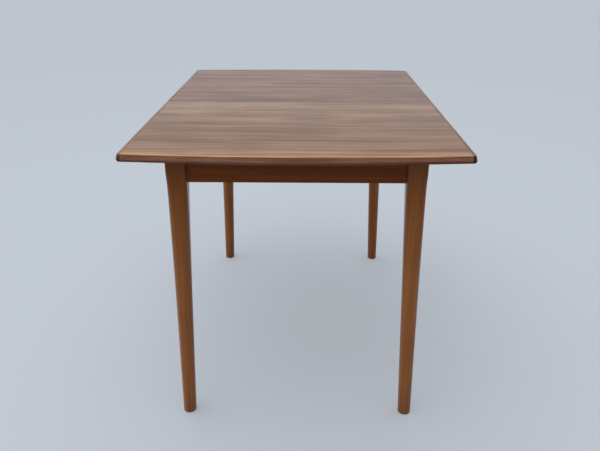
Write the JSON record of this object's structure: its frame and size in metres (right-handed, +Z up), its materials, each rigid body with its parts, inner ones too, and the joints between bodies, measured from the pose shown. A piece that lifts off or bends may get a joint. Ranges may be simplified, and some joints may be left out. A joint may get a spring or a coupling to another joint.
{
  "type": "extending dining table",
  "caption": "Small wooden table on tapered legs; its two half tops meet at a straight seam and slide apart lengthwise on grooved slides.",
  "frame": {"origin": "on the floor, under the middle of the seam between the two half tops", "axes": "+Z up, +Y along the table from the near end to the far end (the way the far half slides out), +X across the table to the right"},
  "size_m": [0.77, 1.0678, 0.74],
  "materials": {
    "teak_veneer": "oiled teak veneer, grain across the table, parallel to the seam",
    "teak_lipping": "oiled solid teak edging",
    "teak_leg": "oiled solid teak, grain along the leg",
    "teak_apron": "oiled solid teak, grain along the rail",
    "beech": "planed unfinished beech",
    "zinc_steel": "zinc plated steel"
  },
  "bodies": {
    "frame": {"near_left_leg": "teak_leg", "near_right_leg": "teak_leg", "far_left_leg": "teak_leg", "far_right_leg": "teak_leg", "near_apron": "teak_apron", "far_apron": "teak_apron", "left_apron": "teak_apron", "right_apron": "teak_apron", "corner_blocks": "beech", "leg_bolts": "zinc_steel", "left_bearer": "beech", "right_bearer": "beech", "cross_rail": "beech"},
    "near_half": {"near_top_panel": "teak_veneer", "near_left_lipping": "teak_lipping", "near_right_lipping": "teak_lipping", "near_end_lipping": "teak_lipping", "near_left_slide": "beech", "near_right_slide": "beech", "near_slide_screws": "zinc_steel", "seam_pegs": "beech"},
    "far_half": {"far_top_panel": "teak_veneer", "far_left_lipping": "teak_lipping", "far_right_lipping": "teak_lipping", "far_end_lipping": "teak_lipping", "far_left_slide": "beech", "far_right_slide": "beech", "far_slide_screws": "zinc_steel"}
  },
  "joints": [
    {"name": "near_half_slide", "type": "slide", "parent": "frame", "child": "near_half", "axis": [0, -1, 0], "range_m": [0, 0.2]},
    {"name": "far_half_slide", "type": "slide", "parent": "frame", "child": "far_half", "axis": [0, 1, 0], "range_m": [0, 0.2]}
  ]
}
